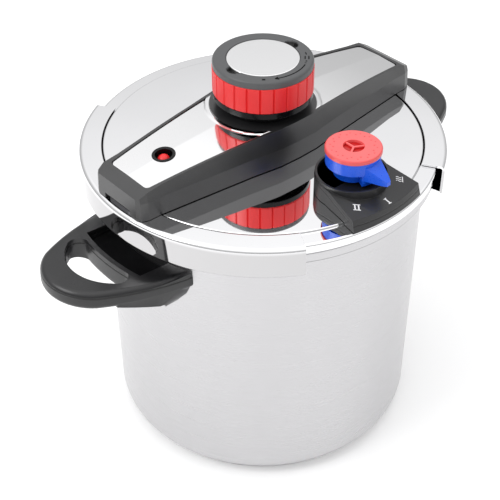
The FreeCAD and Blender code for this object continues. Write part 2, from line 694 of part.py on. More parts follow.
def indicator_nut():
    low = DISC_LOW_Z - GUIDE_NUT_H
    nut = hexagon(GUIDE_NUT_R, low, DISC_LOW_Z, INDICATOR_X)
    return nut.cut(cylinder(GUIDE_TUBE_R + SEAT, low - CUT, DISC_Z, INDICATOR_X))


def indicator_pin():
    """Red float: it hangs by its collar on the sleeve, and its domed head rises with pressure."""
    seat_z = GUIDE_TUBE_TOP_Z + SEAT
    dome_z = INDICATOR_TOP_Z - INDICATOR_HEAD_R
    foot_top = GUIDE_TUBE_LOW_Z - INDICATOR_TRAVEL - GAP
    foot_low = foot_top - INDICATOR_COLLAR_H
    pin = cylinder(INDICATOR_R, foot_low, dome_z, INDICATOR_X)
    pin = pin.fuse(cylinder(INDICATOR_FOOT_R, foot_low, foot_top, INDICATOR_X))
    pin = pin.fuse(cylinder(INDICATOR_COLLAR_R, seat_z, seat_z + INDICATOR_COLLAR_H, INDICATOR_X))
    pin = pin.fuse(cylinder(INDICATOR_HEAD_R, seat_z, dome_z, INDICATOR_X))
    return pin.fuse(Part.makeSphere(INDICATOR_HEAD_R, Vector(INDICATOR_X, 0, dome_z))).removeSplitter()


def safety_plug():
    """Silicone plug that blows out of the lid if the valve is blocked."""
    stem = cylinder(GUIDE_TUBE_R, DISC_LOW_Z, DISC_Z, PLUG_X)
    head = cylinder(PLUG_HEAD_R, DISC_Z, DISC_Z + PLUG_HEAD_T, PLUG_X)
    foot = cylinder(PLUG_HEAD_R, DISC_LOW_Z - PLUG_HEAD_T, DISC_LOW_Z, PLUG_X)
    return stem.fuse(head).fuse(foot).removeSplitter()


# ---------------------------------------------------------------- jaws
def rivet_places():
    return [(RIVET_X, -RIVET_Y), (RIVET_X, RIVET_Y)]


def jaw():
    """Right jaw: a pressed channel that clamps the lid's flange onto the pot's rim."""
    top = JAW_TOP_Z
    low = top - JAW_SKIRT
    hook_z = POT_H - RIM_DROP - GAP
    inside_r = JAW_R - JAW_T
    bend = radial(JAW_R - JAW_BEND, top - JAW_BEND)
    foot = radial(inside_r, low + JAW_T)
    edges = [
        line(radial(JAW_LIP_R, top), radial(bend.x, top)),
        round_corner(radial(bend.x, top), radial(JAW_R, bend.z), bend, JAW_BEND),
        line(radial(JAW_R, bend.z), radial(JAW_R, foot.z)),
        round_corner(radial(JAW_R, foot.z), radial(inside_r, low), foot, JAW_T),
        line(radial(inside_r, low), radial(JAW_HOOK_R, hook_z - JAW_T)),
        line(radial(JAW_HOOK_R, hook_z - JAW_T), radial(JAW_HOOK_R, hook_z)),
        line(radial(JAW_HOOK_R, hook_z), foot),
        line(foot, radial(inside_r, bend.z)),
        round_corner(radial(inside_r, bend.z), radial(bend.x, top - JAW_T), bend, JAW_BEND - JAW_T),
        line(radial(bend.x, top - JAW_T), radial(JAW_LIP_R, top - JAW_T)),
        line(radial(JAW_LIP_R, top - JAW_T), radial(JAW_LIP_R, top)),
    ]
    face = Part.Face(Part.Wire(edges))
    face.rotate(Vector(0, 0, 0), Vector(0, 0, 1), -JAW_HALF_ANGLE)
    shape = face.revolve(Vector(0, 0, 0), Vector(0, 0, 1), 2 * JAW_HALF_ANGLE)
    for x, y in rivet_places():
        shape = shape.cut(cylinder(RIVET_R + SEAT, top - JAW_T - CUT, top + CUT, x, y))
    return shape


def jaw_arm():
    """Steel arm from the cam to the right jaw, slotted to clear the guide in the lid."""
    low = ARM_Z - CUT
    high = ARM_TOP_Z + CUT
    arm = block(ARM_TIP_X, ARM_END_X, -ARM_HALF_W, ARM_HALF_W, ARM_Z, ARM_TOP_Z)
    corners = [e for e in arm.Edges if abs(e.Length - ARM_T) < SEAT]
    arm = arm.makeFillet(ARM_CORNER_R, corners)
    arm = arm.cut(cylinder(PIN_R + SEAT, low, high, PIN_X))
    slot_r = PLUG_HEAD_R + GAP
    slot_in = PLUG_X - JAW_TRAVEL
    slot = block(slot_in, PLUG_X, -slot_r, slot_r, low, high)
    arm = arm.cut(slot).cut(cylinder(slot_r, low, high, slot_in)).cut(cylinder(slot_r, low, high, PLUG_X))
    for x, y in rivet_places():
        arm = arm.cut(cylinder(RIVET_R + SEAT, low, high, x, y))
    return arm


def jaw_pin():
    return cylinder(PIN_R, ARM_Z, CAM_TOP_Z - PIN_SHORT, PIN_X)


def jaw_rivets():
    """Two rivets that hold the arm on the jaw."""
    rivets = []
    for x, y in rivet_places():
        shank = cylinder(RIVET_R, JAW_TOP_Z - JAW_T, ARM_TOP_Z, x, y)
        head = cylinder(RIVET_HEAD_R, ARM_TOP_Z, ARM_TOP_Z + RIVET_HEAD_H, x, y)
        rivets.append(shank.fuse(head).removeSplitter())
    return Part.makeCompound(rivets)


# ---------------------------------------------------------------- knob
def scroll_slot():
    """Slot along an Archimedean scroll: the radius grows by JAW_TRAVEL over KNOB_TURN."""
    half = PIN_R + PIN_PLAY
    inner = []
    outer = []
    tips = []
    for k in range(SCROLL_STEPS + 1):
        turn = math.radians(KNOB_TURN) * k / SCROLL_STEPS
        radius = PIN_X + SCROLL_RATE * turn
        outward = Vector(math.cos(turn), -math.sin(turn), 0)
        place = outward * radius + Vector(0, 0, CAM_Z - CUT)
        tangent = outward * SCROLL_RATE + Vector(-math.sin(turn), -math.cos(turn), 0) * radius
        tangent.normalize()
        normal = Vector(-tangent.y, tangent.x, 0)
        outer.append(place + normal * half)
        inner.append(place - normal * half)
        tips.append((place - tangent * half, place + tangent * half))
    sides = []
    for points in (outer, inner):
        curve = Part.BSplineCurve()
        curve.interpolate(points)
        sides.append(curve.toShape())
    ends = [arc(outer[-1], tips[-1][1], inner[-1]), arc(inner[0], tips[0][0], outer[0])]
    wire = Part.Wire(Part.__sortEdges__(sides + ends))
    return Part.Face(wire).extrude(Vector(0, 0, CAM_T + 2 * CUT))


def sleeve_flats(flat, radius, low, high):
    """The two blocks outside a shaft's flats."""
    upper = block(-radius, radius, flat, radius, low, high)
    return upper.fuse(half_turn(upper))


def scroll_cam():
    """Cam plate with two scroll slots and a sleeve that carries the knob."""
    slot = scroll_slot()
    plate = cylinder(CAM_R, CAM_Z, CAM_TOP_Z).cut(slot).cut(half_turn(slot))
    sleeve = cylinder(SLEEVE_R, CAM_Z, SLEEVE_TOP_Z)
    sleeve = sleeve.cut(sleeve_flats(SLEEVE_FLAT, SLEEVE_R + CUT, FLAT_Z, SLEEVE_TOP_Z + CUT))
    bore = cylinder(STUD_R + RUN, CAM_Z - CUT, SLEEVE_TOP_Z + CUT)
    return plate.fuse(sleeve).cut(bore).removeSplitter()


def knob_core():
    """Black inner part of the knob: neck, flange and hub, keyed to the cam's sleeve."""
    core = cylinder(NECK_R, NECK_Z, KNOB_FLANGE_Z)
    core = core.fuse(cylinder(FLANGE_R, KNOB_FLANGE_Z, SLEEVE_TOP_Z))
    core = core.fuse(cylinder(HUB_R, SLEEVE_TOP_Z, GRIP_TOP_Z))
    core = core.cut(cylinder(NUT_WELL_R, SLEEVE_TOP_Z, GRIP_TOP_Z + CUT))
    moat = ring(NUT_WELL_R + NUT_WELL_WALL, HUB_R - HUB_WALL, SLEEVE_TOP_Z + HUB_FLOOR, GRIP_TOP_Z + CUT)
    bore = cylinder(SLEEVE_R + SEAT, NECK_Z - CUT, SLEEVE_TOP_Z + CUT)
    flats = sleeve_flats(SLEEVE_FLAT + SEAT, SLEEVE_R + CUT, FLAT_Z + SEAT, SLEEVE_TOP_Z + 2 * CUT)
    return core.cut(moat).cut(bore.cut(flats)).removeSplitter()


def knob_grip_ring():
    """Red grip: a ring with upright grooves round it."""
    grip = ring(HUB_R + SEAT, GRIP_R, GRIP_Z, GRIP_TOP_Z)
    for k in range(GRIP_GROOVES):
        place = polar(GRIP_R + GROOVE_OUT, 360.0 * k / GRIP_GROOVES)
        grip = grip.cut(cylinder(GROOVE_R, GRIP_Z - CUT, GRIP_TOP_Z + CUT, place.x, place.y))
    return grip


def knob_cap_ring():
    """Black ring on top of the grip, with two thumb recesses and a shelf for the steel disc."""
    body = ring(DISC_TOP_R + GAP, CAP_RING_R, CAP_RING_Z, KNOB_TOP_Z)
    rim = [e for e in edges_at(body, KNOB_TOP_Z) if e.Curve.Radius == CAP_RING_R]
    body = body.makeFillet(CAP_RING_EDGE, rim)
    for side in (-1, 1):
        thumb = cylinder(THUMB_R, KNOB_TOP_Z - THUMB_DEEP, KNOB_TOP_Z + CUT, side * DISC_TOP_R)
        body = body.cut(thumb)
    shelf = ring(NUT_WELL_R + NUT_WELL_WALL, DISC_TOP_R + CUT, CAP_RING_Z, CAP_RING_Z + SHELF_T)
    return body.fuse(shelf).removeSplitter()


def knob_disc():
    """Steel disc clipped into the nut's well."""
    low = CAP_RING_Z + SHELF_T + SEAT
    high = low + DISC_TOP_T
    disc = cylinder(DISC_TOP_R, low, high)
    return disc.fuse(ring(CLIP_BORE, CLIP_R, CAP_RING_Z - CLIP_DROP, low)).removeSplitter()


# ---------------------------------------------------------------- operating valve
def valve_body():
    """Steel tube through the lid: the steam passage, its flange and its seat."""
    flange_z = DISC_Z + VALVE_GASKET_T
    low = DISC_Z - VALVE_TUBE_DROP
    tube = cylinder(VALVE_TUBE_R, low, VALVE_SEAT_Z, 0, VALVE_Y)
    flange = cylinder(VALVE_FLANGE_R, flange_z, flange_z + VALVE_FLANGE_T, 0, VALVE_Y)
    bore = cylinder(VALVE_BORE_R, low - CUT, VALVE_SEAT_Z + CUT, 0, VALVE_Y)
    return tube.fuse(flange).cut(bore).removeSplitter()


def valve_gasket():
    return ring(VALVE_TUBE_R + SEAT, VALVE_FLANGE_R, DISC_Z, DISC_Z + VALVE_GASKET_T, 0, VALVE_Y)


def valve_nut():
    low = DISC_LOW_Z - VALVE_NUT_H
    nut = hexagon(VALVE_NUT_R, low, DISC_LOW_Z, 0, VALVE_Y)
    return nut.cut(cylinder(VALVE_TUBE_R + SEAT, low - CUT, DISC_LOW_Z + CUT, 0, VALVE_Y))


def valve_filter():
    """Perforated cup on the lower end of the steam passage."""
    high = DISC_LOW_Z - VALVE_NUT_H - GAP
    low = high - FILTER_H
    cup = cylinder(VALVE_TUBE_R + FILTER_WALL, low, high, 0, VALVE_Y)
    cup = cup.cut(cylinder(VALVE_TUBE_R + SEAT, low + FILTER_FLOOR, high + CUT, 0, VALVE_Y))
    places = [Vector(0, VALVE_Y, 0)] + [polar(FILTER_RING_R, 60 * k, 0, 0, VALVE_Y) for k in range(6)]
    for place in places:
        cup = cup.cut(cylinder(FILTER_HOLE_R, low - CUT, low + FILTER_FLOOR + CUT, place.x, place.y))
    return cup


def fan_prism(inset, low, high):
    """Plan of the valve housing: round at the back, spreading to a bowed front edge."""
    half = HOUSING_HALF_W - inset
    back_r = HOUSING_COLLAR_R + GAP - inset
    edge = HOUSING_EDGE_R - inset
    front_y = -math.sqrt(edge ** 2 - half ** 2)
    left = [Vector(-back_r, VALVE_Y, low), Vector(-half, front_y, low)]
    right = [Vector(back_r, VALVE_Y, low), Vector(half, front_y, low)]
    edges = [
        arc(left[0], Vector(0, VALVE_Y + back_r, low), right[0]),
        line(right[0], right[1]),
        arc(right[1], Vector(0, -edge, low), left[1]),
        line(left[1], left[0]),
    ]
    return prism(edges, high - low)


def above_slope(drop):
    """Everything above the housing's sloping top, lowered by the drop."""
    front = -HOUSING_EDGE_R
    z = HOUSING_FRONT_Z - drop
    points = [(2 * front, z + front * HOUSING_SLOPE), (0, z - front * HOUSING_SLOPE)]
    points = points + [(0, KNOB_TOP_Z), (2 * front, KNOB_TOP_Z)]
    face = polygon_face([Vector(-HOUSING_EDGE_R, y, z) for y, z in points])
    return face.extrude(Vector(2 * HOUSING_EDGE_R, 0, 0))


def valve_housing():
    """Black fan-shaped housing that carries the marks for the selector."""
    low = FLANGE_TOP_Z + GAP
    base_z = DISC_Z + GAP
    tall = HOUSING_TOP_Z - low
    front = Part.makeCone(HOUSING_EDGE_R, HOUSING_EDGE_R - HOUSING_LEAN * tall, tall, Vector(0, 0, low))
    body = fan_prism(0, low, HOUSING_TOP_Z).cut(above_slope(0)).common(front)
    body = body.cut(cylinder(DISC_R + GAP, low - CUT, base_z))
    body = body.fuse(cylinder(HOUSING_COLLAR_R, base_z, HOUSING_COLLAR_Z, 0, VALVE_Y))
    hollow = fan_prism(HOUSING_WALL, FLANGE_TOP_Z, HOUSING_TOP_Z).cut(above_slope(HOUSING_WALL))
    hollow = hollow.cut(cylinder(HOUSING_COLLAR_R, FLANGE_TOP_Z, HOUSING_TOP_Z, 0, VALVE_Y))
    flange_top = DISC_Z + VALVE_GASKET_T + VALVE_FLANGE_T
    body = body.cut(hollow)
    body = body.cut(cylinder(VALVE_FLANGE_R + GAP, FLANGE_TOP_Z, flange_top + GAP, 0, VALVE_Y))
    body = body.cut(cylinder(DISH_R, HOUSING_COLLAR_Z - DISH_DEEP, HOUSING_COLLAR_Z + CUT, 0, VALVE_Y))
    bore = cylinder(VALVE_TUBE_R + GAP, FLANGE_TOP_Z, HOUSING_COLLAR_Z + CUT, 0, VALVE_Y)
    return body.cut(bore).removeSplitter()


def selector_lever():
    """Blue lever: a ring round the cap's stem, a deeper front and a pointer."""
    ring_low = LEVER_TOP_Z - LEVER_RING_H
    lever = cylinder(LEVER_R, ring_low, LEVER_TOP_Z)
    reach, half = LEVER_FRONT
    wedge = polygon_prism([(0, 0), (reach, -half), (reach, half)], LEVER_LOW_Z, ring_low)
    lever = lever.fuse(cylinder(LEVER_R - EDGE, LEVER_LOW_Z, ring_low).common(wedge))
    half_plan = [(LEVER_R + x, y) for x, y in TAB_PLAN]
    plan = [(x, -y) for x, y in half_plan] + half_plan[::-1]
    tab_top = LEVER_TOP_Z - CAP_STEM_WALL
    tab = polygon_prism(plan, LEVER_LOW_Z + LEVER_TAB_LIFT, tab_top)
    slope = block(0, LEVER_TAB_R, -LEVER_TAB_R, LEVER_TAB_R, 0, LEVER_TAB_R)
    slope.rotate(Vector(0, 0, 0), Vector(0, 1, 0), LEVER_TAB_SLOPE)
    slope.translate(Vector(LEVER_R - CAP_STEM_WALL, 0, tab_top))
    lever = lever.fuse(tab.cut(slope))
    lever = lever.fuse(cylinder(CAP_STEM_R + LEVER_WALL, LEVER_LOW_Z, LEVER_TOP_Z))
    lever = lever.cut(cylinder(CAP_STEM_R + RUN, LEVER_LOW_Z - CUT, LEVER_TOP_Z + CUT))
    lever.rotate(Vector(0, 0, 0), Vector(0, 0, 1), LEVER_TAB_ANGLE)
    return moved(lever, 0, VALVE_Y).removeSplitter()


def valve_cap():
    """Red cap: a disc with a coin recess, and a hollow stem over the piston and its spring."""
    disc_low = CAP_TOP_Z - CAP_T
    floor_z = CAP_TOP_Z - CAP_RECESS_DEEP
    disc = cylinder(CAP_R, disc_low, CAP_TOP_Z)
    disc = disc.makeFillet(CAP_EDGE, edges_at(disc, CAP_TOP_Z))
    cap = disc.fuse(cylinder(CAP_STEM_R, LEVER_LOW_Z + EDGE, disc_low))
    recess = cylinder(CAP_RECESS_R, floor_z, CAP_TOP_Z + CUT)
    for k in range(3):
        rib = block(0, CAP_RECESS_R + CUT, -CAP_RIB, CAP_RIB, floor_z, CAP_TOP_Z - CAP_RIB)
        rib.rotate(Vector(0, 0, 0), Vector(0, 0, 1), 90 + 120 * k)
        recess = recess.cut(rib)
    hollow = cylinder(CAP_STEM_R - CAP_STEM_WALL, LEVER_LOW_Z, floor_z - CAP_ROOF)
    return moved(cap.cut(recess).cut(hollow), 0, VALVE_Y).removeSplitter()


def valve_piston():
    """Steel needle that closes the steam passage and lifts against the spring."""
    low = VALVE_SEAT_Z + SEAT
    stem = cylinder(PISTON_R, low, low + PISTON_H, 0, VALVE_Y)
    collar = cylinder(PISTON_R + PISTON_COLLAR, low, low + PISTON_COLLAR, 0, VALVE_Y)
    return stem.fuse(collar).removeSplitter()


def valve_spring():
    """Coil spring round the piston, between its collar and the cap's roof."""
    low = VALVE_SEAT_Z + PISTON_COLLAR + 2 * SEAT
    high = CAP_TOP_Z - CAP_RECESS_DEEP - CAP_ROOF - GAP
    coil_r = PISTON_R + 3 * SPRING_WIRE_R
    height = high - low - 2 * SPRING_WIRE_R
    helix = Part.makeHelix(height / SPRING_TURNS, height, coil_r)
    circle = Part.Wire(Part.makeCircle(SPRING_WIRE_R, radial(coil_r, 0), Vector(0, 1, 0)))
    spring = Part.Wire(helix).makePipeShell([circle], True, True)
    return moved(spring, 0, VALVE_Y, low + SPRING_WIRE_R)


# ---------------------------------------------------------------- the whole part
def save_pair(name, shape):
    """Save a piece for the right side, and the same piece turned round for the left."""
    save(name + "_right", shape)
    save(name + "_left", half_turn(shape))


def main():
    save("pot_body", pot_body())
    save("base_core", base_core())
    save("base_cap", base_cap())
    save_pair("handle_bracket", handle_bracket())
    save_pair("side_handle", side_handle())
    save("handle_screws", Part.makeCompound([handle_screw(), half_turn(handle_screw())]))

    save("lid_shell", lid_shell())
    save("lid_gasket", lid_gasket())
    save("centre_stud", centre_stud())
    save("cam_washer", cam_washer())
    save("knob_washer", knob_washer())
    save("knob_nut", knob_nut())
    save_pair("guide_bracket", guide_bracket())
    save("bridge_body", bridge_body())
    save("bridge_screws", Part.makeCompound([bridge_screw(), half_turn(bridge_screw())]))
    save("inlay_plate_right", inlay_plate())
    save("inlay_plate_left", half_turn(inlay_plate()).cut(window_hole()))
    save("window_bezel", window_bezel())
    save("indicator_sleeve", indicator_sleeve())
    save("indicator_nut", indicator_nut())
    save("indicator_pin", indicator_pin())
    save("safety_plug", safety_plug())

    save_pair("jaw", jaw())
    save_pair("jaw_arm", jaw_arm())
    save_pair("jaw_pin", jaw_pin())
    save_pair("jaw_rivets", jaw_rivets())

    save("scroll_cam", scroll_cam())
    save("knob_core", knob_core())
    save("knob_grip_ring", knob_grip_ring())
    save("knob_cap_ring", knob_cap_ring())
    save("knob_disc", knob_disc())

    save("valve_body", valve_body())
    save("valve_gasket", valve_gasket())
    save("valve_nut", valve_nut())
    save("valve_filter", valve_filter())
    save("valve_housing", valve_housing())
    save("selector_lever", selector_lever())
    save("valve_cap", valve_cap())
    save("valve_piston", valve_piston())
    save("valve_spring", valve_spring())


main()
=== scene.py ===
import math

import bmesh
import bpy
import numpy as np
from mathutils import Matrix, Vector


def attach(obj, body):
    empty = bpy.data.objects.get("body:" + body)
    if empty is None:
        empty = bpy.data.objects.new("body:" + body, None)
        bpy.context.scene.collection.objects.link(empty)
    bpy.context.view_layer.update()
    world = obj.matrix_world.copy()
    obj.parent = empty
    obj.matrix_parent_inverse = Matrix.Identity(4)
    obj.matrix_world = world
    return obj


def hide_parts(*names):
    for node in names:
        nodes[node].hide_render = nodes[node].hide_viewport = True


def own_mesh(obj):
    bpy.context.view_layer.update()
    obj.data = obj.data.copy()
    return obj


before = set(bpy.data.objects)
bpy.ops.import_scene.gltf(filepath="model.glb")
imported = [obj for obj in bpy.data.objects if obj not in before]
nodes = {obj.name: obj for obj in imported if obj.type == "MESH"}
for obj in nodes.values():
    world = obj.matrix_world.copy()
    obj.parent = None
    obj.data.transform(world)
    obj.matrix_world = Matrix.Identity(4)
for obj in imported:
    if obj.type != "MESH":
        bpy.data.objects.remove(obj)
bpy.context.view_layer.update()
scene = bpy.context.scene

# ---------------------------------------------------------------- camera, floor and light
# The canner stands on a pale table in a white light tent. The camera looks down on it from its
# front left, and one large lamp at the upper left gives the metal its soft shading.
forward = Vector((0.5086, 0.5809, -0.6356)).normalized()
level = Vector((0.7524, -0.6587, 0.0))
upright = level.cross(forward).normalized()
roll = 0.0071
up = (upright * math.cos(roll) + level * math.sin(roll)).normalized()
right = forward.cross(up).normalized()
camera_data = bpy.data.cameras.new("camera")
camera_data.lens = 78.8
camera_data.sensor_width = 36.0
camera_data.clip_start = 0.01
camera = bpy.data.objects.new("camera", camera_data)
camera.matrix_world = Matrix((
    (right.x, up.x, -forward.x, -0.4187),
    (right.y, up.y, -forward.y, -0.4641),
    (right.z, up.z, -forward.z, 0.6369),
    (0.0, 0.0, 0.0, 1.0),
))
scene.collection.objects.link(camera)
scene.camera = camera
scene.view_settings.view_transform = "Standard"


class Socket:
    """One value in a finish; + - * on it add Math nodes, with a number on either side."""

    def __init__(self, finish, link):
        self.finish = finish
        self.link = link

    def math(self, operation, *others):
        values = dict(enumerate((self, *others)))
        return self.finish.node("Math", {"operation": operation}, values)

    def __add__(self, other):
        return self.math("ADD", other)

    def __sub__(self, other):
        return self.math("SUBTRACT", other)

    def __rsub__(self, other):
        return self.math("MULTIPLY_ADD", -1.0, other)

    def __mul__(self, other):
        return self.math("MULTIPLY", other)

    __radd__ = __add__
    __rmul__ = __mul__

    def step(self, low, high):
        """0 below low, 1 above high, and a smooth rise between them."""
        values = {"Value": self, "From Min": low, "From Max": high}
        return self.finish.node("MapRange", {"interpolation_type": "SMOOTHSTEP"}, values)

    def band(self, middle, half_width, soft):
        """1 within half_width of the middle, fading to 0 over the soft width."""
        return 1.0 - (self - middle).math("ABSOLUTE").step(half_width, half_width + soft)


class Finish:
    """A material with one Principled shader, whose varying sockets are fed by nodes."""

    def __init__(self, name, color, roughness, metallic=0.0, **fixed):
        self.material = bpy.data.materials.new(name)
        self.material.use_nodes = True
        self.tree = self.material.node_tree
        self.shader = self.tree.nodes["Principled BSDF"]
        self.shader.inputs["Base Color"].default_value = (*color, 1.0)
        self.shader.inputs["Roughness"].default_value = roughness
        self.shader.inputs["Metallic"].default_value = metallic
        for key, value in fixed.items():
            self.shader.inputs[key.replace("_", " ")].default_value = value
        self.place = self.node("TexCoord", {}, {}, "Object")

    def node(self, kind, settings, values, output=0):
        made = self.tree.nodes.new("ShaderNode" + kind)
        for key, value in settings.items():
            setattr(made, key, value)
        for key, value in values.items():
            if isinstance(value, Socket):
                self.tree.links.new(value.link, made.inputs[key])
            else:
                made.inputs[key].default_value = value
        return Socket(self, made.outputs[output])

    def feed(self, key, value):
        self.tree.links.new(value.link, self.shader.inputs[key])

    def axis(self, letter):
        return self.node("SeparateXYZ", {}, {0: self.place}, letter)

    def scaled(self, x, y, z):
        return self.node("VectorMath", {"operation": "MULTIPLY"}, {0: self.place, 1: (x, y, z)})

    def radius(self, y=0.0):
        """Distance in metres from the upright axis through x = 0 and this y."""
        flat = self.node("VectorMath", {"operation": "SUBTRACT"},
                         {0: self.scaled(1, 1, 0), 1: (0, y, 0)})
        return self.node("VectorMath", {"operation": "LENGTH"}, {0: flat}, "Value")

    def noise(self, x, y, z, detail=3.0):
        """Noise from 0 to 1 with so many waves to the metre along each axis."""
        values = {"Vector": self.scaled(x, y, z), "Scale": 1.0, "Detail": detail}
        return self.node("TexNoise", {}, values)

    def grain(self, x, y, z, detail, low, spread, depth, strength):
        """Noise that raises the roughness from low by up to the spread, and makes the relief."""
        grain = self.noise(x, y, z, detail)
        self.feed("Roughness", grain * spread + low)
        self.bump(grain, depth, strength)

    def blend(self, amount, first, second):
        """Colour from first to second as the amount goes from 0 to 1."""
        first, second = (c if isinstance(c, Socket) else (*c, 1.0) for c in (first, second))
        return self.node("Mix", {"data_type": "RGBA"}, {0: amount, 6: first, 7: second}, 2)

    def bump(self, height, depth, strength=1.0):
        """Relief whose height 0 to 1 stands for a depth in metres."""
        normal = self.node("Bump", {}, {"Strength": strength, "Distance": depth, "Height": height})
        self.feed("Normal", normal)


def surface(name, grid, around=False, along=False, lids=False, smooth=35.0):
    """Mesh through a grid of points: rows are stations, columns go round an outline.
    around closes each row, along joins the last row to the first, lids fill the end rows."""
    rows, columns = grid.shape[:2]
    index = np.arange(rows * columns).reshape(rows, columns)
    if around:
        index = np.concatenate([index, index[:, :1]], 1)
    if along:
        index = np.concatenate([index, index[:1]], 0)
    quads = np.stack([index[:-1, :-1], index[:-1, 1:], index[1:, 1:], index[1:, :-1]], -1)
    faces = quads.reshape(-1, 4).tolist()
    if lids:
        faces = faces + [index[0, :columns].tolist(), index[-1, :columns][::-1].tolist()]
    mesh = bpy.data.meshes.new(name)
    mesh.from_pydata(grid.reshape(-1, 3).tolist(), [], faces)
    clean = bmesh.new()
    clean.from_mesh(mesh)
    bmesh.ops.remove_doubles(clean, verts=clean.verts, dist=1e-6)
    bmesh.ops.dissolve_degenerate(clean, edges=clean.edges, dist=1e-7)
    bmesh.ops.recalc_face_normals(clean, faces=clean.faces)
    clean.to_mesh(mesh)
    clean.free()
    mesh.shade_smooth()
    mesh.set_sharp_from_angle(angle=math.radians(smooth))
    piece = bpy.data.objects.new(name, mesh)
    scene.collection.objects.link(piece)
    return piece


paper = Finish("table_paper", (0.93, 0.93, 0.93), 0.6, Emission_Strength=0.14)
paper.grain(400, 400, 400, 3.0, 0.55, 0.1, 0.00005, 0.3)
far = np.linspace(-10, 10, 3)
sheet = np.stack(np.meshgrid(far, far, [0.0], indexing="ij"), -1)
floor = surface("floor", sheet[:, :, 0])
floor.data.materials.append(paper.material)

tent = bpy.data.worlds.new("light_tent")
tent.use_nodes = True
scene.world = tent
tent_nodes = tent.node_tree.nodes
tent_links = tent.node_tree.links
tent_place = tent_nodes.new("ShaderNodeTexCoord")
tent_split = tent_nodes.new("ShaderNodeSeparateXYZ")
tent_ramp = tent_nodes.new("ShaderNodeValToRGB")
for spot, gray in ((0.0, 0.26), (0.10, 0.50), (0.40, 0.62), (0.49, 0.77),
                   (0.55, 0.92), (0.60, 0.99), (0.66, 1.13), (0.80, 1.2)):
    stop = tent_ramp.color_ramp.elements.new(spot)
    stop.color = (gray, gray, gray * 1.005, 1)
tent_ramp.color_ramp.elements.remove(tent_ramp.color_ramp.elements[0])
tent_ramp.color_ramp.elements[-1].color = (1.7, 1.7, 1.7, 1)
tent_links.new(tent_place.outputs["Generated"], tent_split.inputs[0])
tent_links.new(tent_split.outputs["Z"], tent_ramp.inputs[0])
tent_links.new(tent_ramp.outputs[0], tent_nodes["Background"].inputs["Color"])
tent_nodes["Background"].inputs["Strength"].default_value = 1.0

lamp_light = bpy.data.lights.new("lamp_left", "AREA")
lamp_light.shape = "SQUARE"
lamp_light.size = 0.8
lamp_light.energy = 7
lamp = bpy.data.objects.new("lamp_left", lamp_light)
lamp.location = (-1.1, 0.35, 1.25)
lamp.rotation_euler = (Vector((0, 0, 0.15)) - lamp.location).to_track_quat("-Z", "Y").to_euler()
scene.collection.objects.link(lamp)

# ---------------------------------------------------------------- pot
# A drawn stainless pot with a straight wall and a rim rolled outwards, satin outside with fine
# lines that run round it. An aluminium disc under its floor is covered by a pressed steel cap.


def outline(corners, closed=True, steps=5):
    """Points in metres through corners (a, b, radius) in mm: each corner is a tangent arc, with a
    point just before and just after it, so that the flats beside it stay flat."""
    spots = np.array([c[:2] for c in corners], float)
    points = []
    count = len(corners)
    for k, (a, b, radius) in enumerate(corners):
        here = spots[k]
        if radius == 0 or (not closed and k in (0, count - 1)):
            points.append(here[None])
            continue
        back = spots[k - 1] - here
        ahead = spots[(k + 1) % count] - here
        back = back / np.linalg.norm(back)
        ahead = ahead / np.linalg.norm(ahead)
        angle = math.acos(np.clip(back @ ahead, -1, 1))
        reach = radius / math.tan(angle / 2)
        middle = (back + ahead) / np.linalg.norm(back + ahead)
        centre = here + middle * radius / math.sin(angle / 2)
        start = here + back * reach - centre
        end = here + ahead * reach - centre
        sweep = math.pi - angle
        t = np.linspace(0, 1, steps + 1)[:, None]
        bend = np.sin((1 - t) * sweep) * start + np.sin(t * sweep) * end
        bend = centre + bend / math.sin(sweep)
        slack = min(0.25, radius)
        points += [(here + back * (reach + slack))[None], bend,
                   (here + ahead * (reach + slack))[None]]
    return np.concatenate(points) / 1000.0


def turn(profile, start=0.0, end=360.0, count=192, wave=None):
    """Grid of a profile (r, z) turned about an upright axis: x = r cos a, y = r sin a, and the
    wave, if given, is added to r for each angle and height."""
    full = end - start >= 360.0
    a = np.radians(np.linspace(start, end, count, endpoint=not full))[:, None]
    r = np.broadcast_to(profile[None, :, 0], (count, len(profile)))
    z = np.broadcast_to(profile[None, :, 1], (count, len(profile)))
    if wave is not None:
        r = r + wave(a, r, z)
    return np.stack([r * np.cos(a), r * np.sin(a), z], -1)


def hold(piece, body, slot, finish, *replaced):
    """Give a piece its finish, let it ride on its body and stand for its CAD nodes. The slot argument
    is not used.
    """
    piece.data.materials.clear()
    piece.data.materials.append(finish.material)
    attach(piece, body)
    if replaced:
        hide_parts(*replaced)
    return piece


def coat(finish, *names):
    """Give CAD nodes a finish."""
    for name in names:
        data = nodes[name].data
        data.materials.clear()
        data.materials.append(finish.material)


satin = Finish("satin_steel", (0.68, 0.68, 0.69), 0.3, 1.0)
brushing = satin.noise(14, 14, 2600, 4.0)
cloud = satin.noise(22, 22, 9, 4.0)
satin.feed("Roughness", brushing * 0.10 + cloud * 0.03 + 0.22)
height = satin.axis("Z")
# Painted shade: near-black bands round the pot just under its rolled rim. The fine grooves are real
# relief in the bump; their dark colour is painted shade under the rim.
rim_groove_shade = (height.band(0.2072, 0.0004, 0.0004) + height.band(0.2040, 0.0003, 0.0005) * 0.5
             + height.band(0.2013, 0.0002, 0.0005) * 0.4)
satin.feed("Base Color", satin.blend(rim_groove_shade, satin.blend(
    cloud.step(0.35, 0.75), (0.59, 0.585, 0.595), (0.575, 0.57, 0.58)), (0.12, 0.12, 0.12)))
satin.bump(brushing - rim_groove_shade * 3.0, 0.00002, 0.5)

pot_outline = outline([
    (0, 4.6, 0), (111, 4.6, 10), (111, 211.2, 3), (117.4, 213.6, 0.6), (117.4, 207.6, 0.4),
    (118.4, 207.0, 0.4), (118.5, 214.6, 1.4), (112, 214.7, 2.5), (110, 210, 2), (110, 5.7, 9),
    (0, 5.7, 0),
], closed=False, steps=8)
pot = surface("pot_shell", turn(pot_outline, count=288), along=True)
hold(pot, "pot", "satin_steel", satin, "pot_body")

